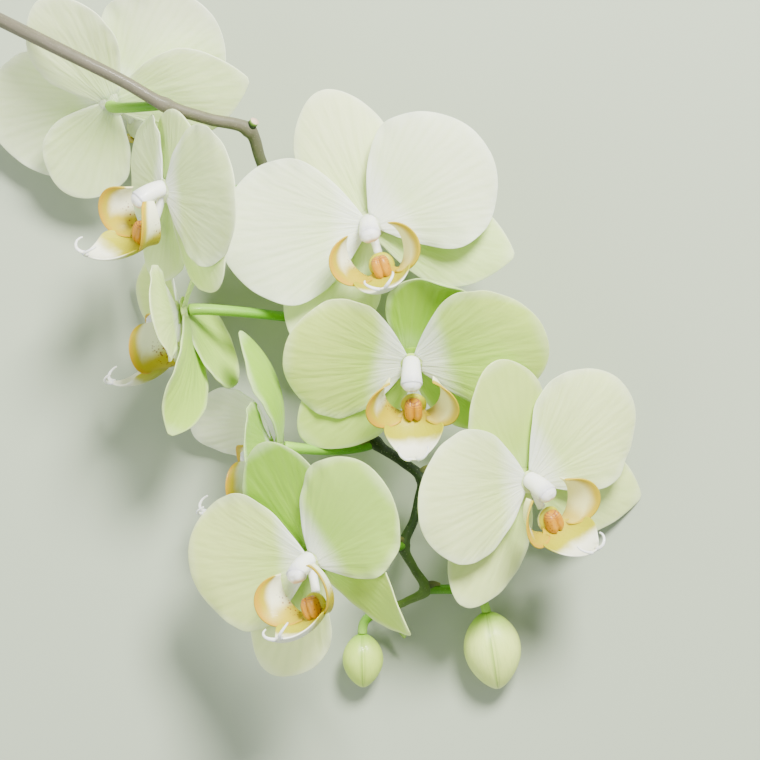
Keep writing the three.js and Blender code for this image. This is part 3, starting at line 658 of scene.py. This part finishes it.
def callus_material(name):
    """Orange, with red-brown stripes towards the column and dots at its sides."""
    n = Nodes(name)
    aside, down = n.uv("fan")
    stripes = n.math("SINE", n.math("ADD", n.math("MULTIPLY", down, 70.0), n.math("MULTIPLY", aside, 9.0)))
    where = n.step(down, 0.62, 0.86)
    colour = n.mix(n.noise(n.place(), 260.0, 3.0), srgb("#c89000"), srgb("#b07000"))
    striped = n.math("MULTIPLY", n.step(stripes, 0.1, 0.5), n.math("MULTIPLY", where, 0.8))
    colour = n.mix(striped, colour, srgb("#8a4a3c"))
    dots = n.spots(n.place(), 1000.0, 0.36)
    edge = n.step(n.math("ABSOLUTE", n.math("SUBTRACT", aside, 0.5)), 0.22, 0.42)
    colour = n.mix(n.math("MULTIPLY", dots, n.math("MULTIPLY", edge, 0.8)), colour, srgb("#7a2f14"))
    return n.finish(colour, 0.38, n.noise(n.place(), 500.0, 2.0), 0.25, 0.0002, 0.2, coat=0.15)


def column_material(name, tip):
    n = Nodes(name)
    patch = n.noise(n.place(), 160.0, 3.0)
    colour = n.mix(n.math("MULTIPLY", patch, 0.35), srgb("#fbfaf5"), srgb("#eef2dc"))
    if tip:
        low = n.uv("fan")[1]
        colour = n.mix(n.step(low, 0.34, 0.08, 0.0, 0.8), colour, srgb("#e3b38f"))
    return n.finish(colour, 0.42, patch, 0.12, 0.0002, 0.4, coat=0.08)


def stem_material(name, stops, speck, rough=0.55):
    """Colours along the stem, with fine streaks and small pale pores."""
    n = Nodes(name)
    u, v = n.uv("blade")
    ramp = n.node("ShaderNodeValToRGB")
    elements = ramp.color_ramp.elements
    while len(elements) < len(stops):
        elements.new(0.5)
    for element, (at, colour) in zip(elements, stops):
        element.position = at
        element.color = srgb(colour)
    n.put(ramp.inputs[0], u)
    streak = n.noise(n.stretched(u, v, 60.0, 9.0), 2.0, 3.0)
    colour = n.mix(n.step(streak, 0.35, 0.75, 0.0, 0.35), ramp.outputs[0], srgb(speck))
    pores = n.spots(n.place(), 900.0, 0.28)
    colour = n.mix(n.math("MULTIPLY", pores, 0.16), colour, srgb("#a8a88c"))
    height = n.math("ADD", streak, n.math("MULTIPLY", pores, 0.4))
    return n.finish(colour, rough, height, 0.35, 0.0003, 0.05, coat=0.08)


def bud_material(name, body, root, tip):
    n = Nodes(name)
    u, v = n.uv("blade")
    patch = n.noise(n.place(), 70.0, 3.0)
    along = n.math("ADD", u, n.math("MULTIPLY", patch, 0.2))
    colour = n.mix(n.step(along, 0.12, 0.5), srgb(root), srgb(body))
    colour = n.mix(n.step(u, 0.75, 1.0, 0.0, 0.8), colour, srgb(tip))
    streak = n.noise(n.stretched(u, v, 4.0, 60.0), 2.0, 2.0)
    colour = n.mix(n.step(streak, 0.45, 0.8, 0.0, 0.3), colour, srgb("#a0c642"))
    # darker green line along each seam: painted shade standing in for the shadow in the furrow between the
    # sepals
    seam = n.math("POWER", n.math("ABSOLUTE", n.math("COSINE", n.math("MULTIPLY", v, 3 * math.pi))), 60.0)
    colour = n.mix(n.math("MULTIPLY", seam, 0.6), colour, srgb("#6c9c1c"))
    height = n.math("SUBTRACT", streak, n.math("MULTIPLY", seam, 2.5))
    return n.finish(colour, 0.42, height, 0.3, 0.0003, 0.3, coat=0.08)


def cut_material(name):
    n = Nodes(name)
    rings_here = n.noise(n.place(), 1200.0, 3.0)
    colour = n.mix(rings_here, srgb("#e7cdbb"), srgb("#c9a78f"))
    return n.finish(colour, 0.7, rings_here, 0.4, 0.0003, 0.1)


def floor_material(name):
    n = Nodes(name)
    patch = n.noise(n.place(), 3.0, 2.0)
    colour = n.mix(patch, srgb("#a3ad98"), srgb("#a9b39f"))
    return n.finish(colour, 0.85, n.noise(n.place(), 400.0, 2.0), 0.05, 0.0002)


# Blooms

def unit(vector):
    return vector / np.linalg.norm(vector)


def bloom_place(bloom):
    """The bloom's axes and the map from its own frame to the part's frame."""
    lean, facing, dorsal = bloom["lean"] * RAD, bloom["facing"] * RAD, bloom["dorsal"] * RAD
    z = np.array([math.sin(lean) * math.cos(facing), math.sin(lean) * math.sin(facing), math.cos(lean)])
    y = np.array([math.cos(dorsal), math.sin(dorsal), 0.0])
    if abs(z[2]) > STEEPEST:
        y[2] = -y.dot(z) / z[2]
    y = unit(y - z * y.dot(z))
    roll = bloom["roll"] * RAD
    y = y * math.cos(roll) + np.cross(z, y) * math.sin(roll)
    x = np.cross(y, z)
    hub = np.array(bloom["hub"]) + np.array(ORIGIN_SHIFT)
    turn = np.stack([x, y, z])
    return z, (lambda points: points @ turn + hub)


def shifted(points):
    return points + np.array(ORIGIN_SHIFT)


def blade_on(blade, seed):
    return lambda u, v: blade_surface(blade, u, v, seed)


def bezier(points):
    a, b, c, d = [np.array(p, float) for p in points]

    def at(t):
        t = np.asarray(t, float)[..., None]
        return (1 - t) ** 3 * a + 3 * (1 - t) ** 2 * t * b + 3 * (1 - t) * t * t * c + t**3 * d

    return at


def side_lobe(side):
    lobe = SIDE_LOBE

    def at(u, v):
        angle = taper(lobe["from"], lobe["to"], u) * RAD
        rise = taper(lobe["profile"][0], lobe["profile"][1], u)
        tall = lobe["height"] * np.sin(math.pi * rise) ** lobe["fullness"]
        share = (v + 1) / 2
        out = lobe["radius"] + (lobe["flare"] * (share - 0.5) + LOBE_ROLL * share**3) * np.sin(math.pi * u)
        x = side * (lobe["centre"][0] + out * np.cos(angle))
        y = lobe["centre"][1] + out * np.sin(angle)
        point = np.stack([x, y, lobe["low"] + lobe["rake"] * u + tall * share], -1)
        tilt = np.full_like(angle, -side * lobe["flare"] / lobe["height"])
        normal = np.stack([np.cos(angle), side * np.sin(angle), tilt], -1)
        normal /= np.linalg.norm(normal, axis=-1, keepdims=True)
        return point, normal, u * 20, (v * 6)

    return at


def round_radius(radius):
    return lambda t, angle: np.full_like(angle, radius(t))


def add_disc(piece, place, height, disc):
    add_ball(piece, place, [0, 0, height], [disc["radius"], disc["radius"], disc["half"]])


def add_sepals(piece, place, bloom, seed):
    blades = [
        {**SEPAL, **bloom.get("top", {})},
        {**SEPAL, "dir": SIDE_DIRS["left"], **bloom.get("sideLeft", {})},
        {**SEPAL, "dir": SIDE_DIRS["right"], **bloom.get("sideRight", {})},
    ]
    for i, blade in enumerate(blades):
        surface = blade_on({**blade, "frill": SEPAL_FRILL}, seed + i)
        add_sheet(piece, place, surface, SEPAL_GRID, SEPAL_THICK, (i, i))
    add_disc(piece, place, SEPAL["lift"], BACK_DISC)


def add_petals(piece, place, bloom, seed):
    blades = [
        {**PETAL, "dir": PETAL_DIRS["left"], **bloom.get("petalLeft", {})},
        {**PETAL, "dir": PETAL_DIRS["right"], **bloom.get("petalRight", {})},
    ]
    for i, blade in enumerate(blades):
        surface = blade_on({**blade, "frill": PETAL_FRILL}, seed + 4 + i)
        add_sheet(piece, place, surface, PETAL_GRID, PETAL_THICK, (i, i))
    add_disc(piece, place, PETAL["lift"], FRONT_DISC)
    column = bezier(COLUMN["line"])
    wings = lambda t, angle: taper(*COLUMN["radius"], t) * (1 + 0.10 * np.cos(2 * angle) * t)
    add_tube(piece, place, column, wings, COLUMN_STEPS, (2, 2))
    cap = lambda p: 1 - 0.10 * np.exp(-((p[:, 0] / 0.25) ** 2)) * (p[:, 1] < 0)
    add_ball(piece, place, COLUMN["cap"], COLUMN["capRadii"], 3, cap)
    foot = round_radius(lambda t: COLUMN["footRadius"])
    add_tube(piece, place, bezier(COLUMN["foot"]), foot, FOOT_STEPS, (2, 2))


def add_lip(piece, place, bloom, seed):
    middle = {**MID_LOBE, **bloom.get("lip", {})}
    add_ball(piece, place, LIP_BASE["centre"], LIP_BASE["radii"], 2)

    def ridge(p):
        square = (np.abs(p) ** 3.2).sum(1) ** (-1 / 3.2)
        groove = 0.26 * np.exp(-((p[:, 0] / 0.2) ** 2)) * np.clip(p[:, 2] + 0.3, 0, 1)
        return np.minimum(square, 1.16) * (0.92 - groove)

    add_ball(piece, place, CALLUS["centre"], CALLUS["radii"], 3, ridge, 36, 26)
    for side in (1, -1):
        add_sheet(piece, place, side_lobe(side), LOBE_GRID, LOBE_THICK, (0, 1))
    add_sheet(piece, place, blade_on(middle, seed), MIDDLE_GRID, MIDDLE_THICK, (2, 2))
    tip = blade_surface(middle, np.array([1.0]), np.array([0.0]))[0][0]
    for side in (1, -1):
        line = [tip + np.array([side * x, y, z]) for x, y, z in TENDRIL["line"]]
        thinning = round_radius(lambda t: taper(*TENDRIL_RADIUS, t))
        add_tube(piece, place, bezier(line), thinning, TENDRIL_STEPS, (4, 4))


# Stem, stalks and buds

def stem_line():
    """The centripetal spline through the stem's points, as a function of t."""
    points = np.array([p["at"] for p in STEM_LINE], float)
    count = len(points)
    before = points[0] * 2 - points[1]
    after = points[-1] * 2 - points[-2]
    all_points = np.concatenate([[before], points, [after]])

    def one(t):
        place = t * (count - 1)
        i = min(count - 2, int(math.floor(place)))
        w = place - i
        p = all_points[i : i + 4]
        gaps = [max(math.sqrt(np.linalg.norm(p[k + 1] - p[k])), 1e-4) for k in range(3)]
        d0, d1, d2 = gaps
        m1 = ((p[1] - p[0]) / d0 - (p[2] - p[0]) / (d0 + d1) + (p[2] - p[1]) / d1) * d1
        m2 = ((p[2] - p[1]) / d1 - (p[3] - p[1]) / (d1 + d2) + (p[3] - p[2]) / d2) * d1
        w2, w3 = w * w, w * w * w
        return (
            (2 * w3 - 3 * w2 + 1) * p[1] + (w3 - 2 * w2 + w) * m1
            + (-2 * w3 + 3 * w2) * p[2] + (w3 - w2) * m2
        )

    return lambda t: np.array([one(x) for x in np.atleast_1d(t)])


def node_point(name):
    return np.array(next(p["at"] for p in STEM_LINE if p.get("name") == name), float)


def stem_radius(path):
    nodes = np.array([p["at"] for p in STEM_LINE if p.get("name")], float)

    def at(t, angle):
        place = t * (len(STEM_LINE) - 1)
        i = min(len(STEM_LINE) - 2, int(place))
        plain = taper(STEM_LINE[i]["radius"], STEM_LINE[i + 1]["radius"], place - i)
        nearest = np.linalg.norm(nodes - path(t)[0], axis=1).min()
        ridged = 1 + 0.03 * np.cos(3 * angle + 7 * t)
        return (plain + NODE_SWELL * math.exp(-((nearest / NODE_SPREAD) ** 2))) * ridged

    return at


def growth_point(name):
    for bloom in BLOOMS:
        if bloom["node"] == name:
            return np.array(bloom["hub"], float)
    return np.array(next(b["top"] for b in BUDS if b["node"] == name), float)


def add_bract(piece, name):
    """A pointed scale that clasps the node on the side of the cut end."""
    at = node_point(name)
    index = next(i for i, p in enumerate(STEM_LINE) if p.get("name") == name)
    forward = unit(np.array(STEM_LINE[index + 1]["at"], float) - np.array(STEM_LINE[index - 1]["at"], float))
    out = growth_point(name) - at
    out = unit(out - forward * out.dot(forward))
    tip = at + out * BRACT["out"] - forward * BRACT["back"]
    middle = at + out * BRACT["out"] / 2 - forward * BRACT["back"]
    path = bezier([at - forward * BRACT["sunk"], middle, middle, tip])
    keel = lambda t, angle: taper(BRACT["foot"], BRACT["tip"], t**0.8) * (1 - 0.14 * np.cos(2 * angle))
    add_tube(piece, shifted, path, keel, BRACT_STEPS, (1, 1))


def add_stem(piece):
    path = stem_line()
    add_tube(piece, shifted, path, stem_radius(path), STEM_STEPS, (0, 2))
    root = node_point("scar")
    cut = root + unit(np.array(SCAR["dir"])) * SCAR["length"]
    stub = bezier([root, root + (cut - root) * 0.3, root + (cut - root) * 0.6, cut])
    narrowing = round_radius(lambda t: taper(SCAR["foot"], SCAR["end"], t))
    add_tube(piece, shifted, stub, narrowing, SCAR_STEPS, (0, 2))
    for point in STEM_LINE:
        if point.get("name") and point["name"] != "scar":
            add_bract(piece, point["name"])


def add_stalk(piece, owner, end, arrive, end_radius):
    start = node_point(owner["node"])
    dip = np.array(owner.get("dip", [0, 0, 0]), float)
    away = unit(end - arrive * owner["pull"][1] - start)
    near = start + away * owner["pull"][0] + dip * DIP_NEAR
    far = end - arrive * owner["pull"][1] + dip * DIP_FAR
    grooves = lambda t, angle: taper(STALK_RADIUS["stem"], end_radius, t * t) * (1 + 0.05 * np.cos(3 * angle))
    add_tube(piece, shifted, bezier([start, near, far, end]), grooves, STALK_STEPS)


def add_bud(piece, spec):
    top, tip = np.array(spec["top"], float), np.array(spec["tip"], float)

    def radius(t, angle):
        along = taper(BUD["ends"][0], BUD["ends"][1], t) ** BUD["lean"]
        seam = np.abs(np.cos(1.5 * angle + 0.25 * math.sin(3 * t)))
        furrow = BUD_FURROW * seam ** BUD["furrowWidth"]
        return spec["radius"] * math.sin(math.pi * along) ** BUD["fullness"] * (1 - furrow)

    path = lambda t: top + (tip - top) * np.atleast_1d(t)[:, None]
    ease = lambda t: path((1 - np.cos(np.atleast_1d(t) * math.pi)) / 2)
    eased = lambda t, angle: radius((1 - math.cos(t * math.pi)) / 2, angle)
    add_tube(piece, shifted, ease, eased, BUD_STEPS)


# Colours of each bloom's petals (left, right) and sepals (top, left, right), and how lime their roots are.
# Some blades are set darker green where they lie in the shade of other blooms, which is painted shade, and
# the lime share is partly painted shade too.
TINTS_AND_SHADE = {
    "flower_1": (("#f1fbd2", "#edf9cd"), ("#ecf7bc", "#e6f5b2", "#d2ea9a"), 0.4),
    # flower_2's dark green top sepal is painted shade, the shade under flower_1
    "flower_2": (("#cfe870", "#c4e466"), ("#8cb81a", "#c8e66a", "#b6db56"), 0.75),
    "flower_3": (("#e8f7ae", "#e4f5aa"), ("#cfe878", "#dff29c", "#dbf098"), 0.55),
    "flower_4": (("#dcee8c", "#b0d658"), ("#86b418", "#e6f4a8", "#b8da54"), 0.7),
    # flower_5's dark green top sepal and right petal are painted shade, the shaded far side of the bloom
    "flower_5": (("#f0fad0", "#8cba36"), ("#8cba2c", "#c4e482", "#c4e482"), 0.6),
    "flower_6": (("#e2f2b2", "#daeca8"), ("#d6ec9c", "#cfe890", "#cfe890"), 0.45),
    "flower_7": (("#d4ec8a", "#d2ea8a"), ("#bedf68", "#b4da5c", "#b0d654"), 0.6),
    "flower_8": (("#eef9ca", "#e6f4c0"), ("#e6f4ba", "#e0f2b0", "#e0f2b0"), 0.4),
}

stem_mat = stem_material(
    "stem_skin",
    [(0.0, "#6f675a"), (0.25, "#6a6553"), (0.33, "#3f4a2c"), (0.5, "#0e1e08"), (0.75, "#16300e"),
     (0.84, "#55702c"), (1.0, "#86a84a")],
    "#3a4a2a",
)
bract_mat = stem_material("bract_skin", [(0.0, "#33451f"), (1.0, "#75763e")], "#54472a")
cut_mat = cut_material("cut_end")
stalk_mat = stem_material(
    "stalk_skin", [(0.0, "#467810"), (0.35, "#5c9c10"), (1.0, "#a0d04c")], "#6cac1e", 0.45
)
lobe_in = lobe_material("lobe_inner", True)
lobe_out = lobe_material("lobe_outer", False)
middle_mat = middle_material("middle_lobe")
callus_mat = callus_material("callus")
column_mat = column_material("column", False)
cap_mat = column_material("column_cap", True)

stem_piece = Piece()
add_stem(stem_piece)
make_object(stem_piece, "look_stem", "stem", [stem_mat, bract_mat, cut_mat])

for number, bloom in enumerate(BLOOMS):
    name = bloom["name"]
    petals, sepals, lime = TINTS_AND_SHADE[name]
    facing, place = bloom_place(bloom)
    seed = 1.7 * number
    petal_mats = [
        blade_material(f"{name}_petal_{k}", tint, lime * 0.8, 0.85, 58.0) for k, tint in enumerate(petals)
    ]
    sepal_mats = [
        blade_material(f"{name}_sepal_{k}", tint, lime, 0.1, 46.0) for k, tint in enumerate(sepals)
    ]

    piece = Piece()
    add_sepals(piece, place, bloom, seed)
    make_object(piece, "look_" + name + "_sepals", name + "_sepals", sepal_mats)

    piece = Piece()
    add_petals(piece, place, bloom, seed)
    petal_mats += [column_mat, cap_mat]
    make_object(piece, "look_" + name + "_petals", name + "_petals", petal_mats)

    piece = Piece()
    add_lip(piece, place, bloom, seed)
    lip_mats = [lobe_in, lobe_out, middle_mat, callus_mat, column_mat]
    make_object(piece, "look_" + name + "_lip", name + "_lip", lip_mats)

    piece = Piece()
    end = np.array(bloom["hub"], float) + facing * STALK_END
    add_stalk(piece, bloom, end, facing, STALK_RADIUS["bloom"])
    make_object(piece, "look_" + name + "_stalk", name + "_stalk", [stalk_mat])

for spec, colours in zip(BUDS, (("#e0f286", "#98c83c", "#f2fab0"), ("#cce866", "#8cbf30", "#e4f294"))):
    name = spec["name"]
    arrive = unit(np.array(spec["tip"], float) - np.array(spec["top"], float))
    piece = Piece()
    add_stalk(piece, spec, np.array(spec["top"], float) - arrive * GAP, arrive, STALK_RADIUS["stem"])
    make_object(piece, "look_" + name + "_stalk", name + "_stalk", [stalk_mat])
    piece = Piece()
    add_bud(piece, spec)
    make_object(piece, "look_" + name, name, [bud_material(name + "_skin", *colours)])

# Floor, lights and camera
bpy.ops.mesh.primitive_plane_add(size=FLOOR_SIZE, location=(0, 0, FLOOR_HEIGHT))
floor = bpy.context.object
floor.name = "floor"
floor.data.materials.append(floor_material("floor_paper"))


def area_light(name, place, size, power, colour):
    data = bpy.data.lights.new(name, "AREA")
    data.shape = "DISK"
    data.size = size
    data.energy = power
    data.color = colour
    lamp = bpy.data.objects.new(name, data)
    bpy.context.scene.collection.objects.link(lamp)
    lamp.location = place
    lamp.rotation_euler = (Vector(LIGHT_AIM) - Vector(place)).to_track_quat("-Z", "Y").to_euler()


for name, settings in LIGHTS.items():
    area_light(name, *settings)
world = bpy.data.worlds.new("studio")
bpy.context.scene.world = world
world.use_nodes = True
world.node_tree.nodes["Background"].inputs[0].default_value = SKY_COLOUR
world.node_tree.nodes["Background"].inputs[1].default_value = SKY_STRENGTH

# The photo looks straight at the face of the spray, which lies down here, so the camera looks down on it.
camera_data = bpy.data.cameras.new("camera")
camera_data.sensor_fit = "HORIZONTAL"
camera_data.angle = 2 * math.atan(HALF_VIEW / FOCAL_REACH)
camera = bpy.data.objects.new("camera", camera_data)
bpy.context.scene.collection.objects.link(camera)
camera.location = (ORIGIN_SHIFT[0] * MM, ORIGIN_SHIFT[1] * MM, CAMERA_HEIGHT)
camera.rotation_euler = (0, 0, 0)
bpy.context.scene.camera = camera
